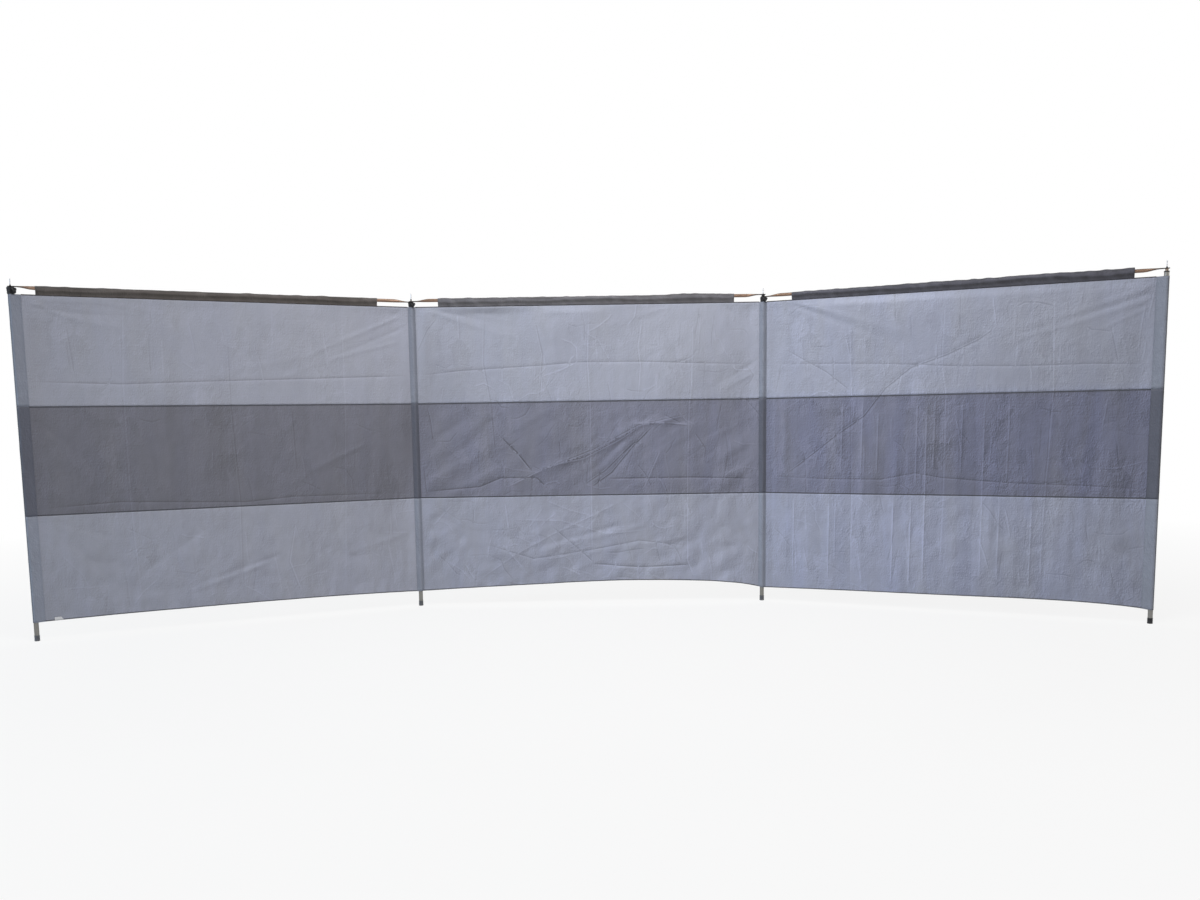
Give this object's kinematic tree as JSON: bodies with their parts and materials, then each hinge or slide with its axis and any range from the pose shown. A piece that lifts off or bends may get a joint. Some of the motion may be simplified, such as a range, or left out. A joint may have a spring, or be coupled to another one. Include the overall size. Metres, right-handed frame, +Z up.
{
  "type": "beach windbreak",
  "caption": "Free-standing beach windbreak: striped grey cloth bays on steel uprights, with ridge poles that hook over top spikes and let the outer bays swing.",
  "frame": {"origin": "on the ground, at the middle of the box round the whole windbreak", "axes": "+Z up, +X along the middle bay to the viewer's right, front of the windbreak towards -Y"},
  "size_m": [4.6651, 0.7238, 1.4795],
  "materials": {
    "pole_steel": "satin",
    "spike_steel": "satin",
    "black_plastic": "satin",
    "black_webbing": "matte",
    "light_cloth": "matte",
    "dark_cloth": "matte",
    "sleeve_cloth": "matte"
  },
  "bodies": {
    "middle_bay": {"left_mid_dark_pocket": "dark_cloth", "left_mid_foot_cap": "black_plastic", "left_mid_light_pocket": "light_cloth", "left_mid_spike": "spike_steel", "left_mid_tie": "black_webbing", "left_mid_top_plug": "black_plastic", "left_mid_upright": "pole_steel", "middle_dark_band": "dark_cloth", "middle_lower_strip": "light_cloth", "middle_ridge_pole": "pole_steel", "middle_ridge_sleeve": "sleeve_cloth", "middle_upper_strip": "light_cloth", "right_mid_dark_pocket": "dark_cloth", "right_mid_foot_cap": "black_plastic", "right_mid_light_pocket": "light_cloth", "right_mid_spacer": "black_plastic", "right_mid_spike": "spike_steel", "right_mid_tie": "black_webbing", "right_mid_top_plug": "black_plastic", "right_mid_upright": "pole_steel"},
    "left_bay": {"left_dark_band": "dark_cloth", "left_end_dark_pocket": "dark_cloth", "left_end_foot_cap": "black_plastic", "left_end_light_pocket": "light_cloth", "left_end_spike": "spike_steel", "left_end_tie": "black_webbing", "left_end_top_plug": "black_plastic", "left_end_upright": "pole_steel", "left_lower_strip": "light_cloth", "left_ridge_pole": "pole_steel", "left_ridge_sleeve": "sleeve_cloth", "left_upper_strip": "light_cloth"},
    "right_bay": {"right_dark_band": "dark_cloth", "right_end_dark_pocket": "dark_cloth", "right_end_foot_cap": "black_plastic", "right_end_light_pocket": "light_cloth", "right_end_spike": "spike_steel", "right_end_top_plug": "black_plastic", "right_end_upright": "pole_steel", "right_lower_strip": "light_cloth", "right_ridge_pole": "pole_steel", "right_ridge_sleeve": "sleeve_cloth", "right_upper_strip": "light_cloth"}
  },
  "joints": [
    {"name": "left_bay_swing", "type": "hinge", "parent": "middle_bay", "child": "left_bay", "pos_m": [-0.825, 0.34866, 0], "axis": [0, 0, 1], "range_deg": [-115, 65]},
    {"name": "right_bay_swing", "type": "hinge", "parent": "middle_bay", "child": "right_bay", "pos_m": [0.825, 0.34866, 0], "axis": [0, 0, -1], "range_deg": [-115, 65]}
  ]
}
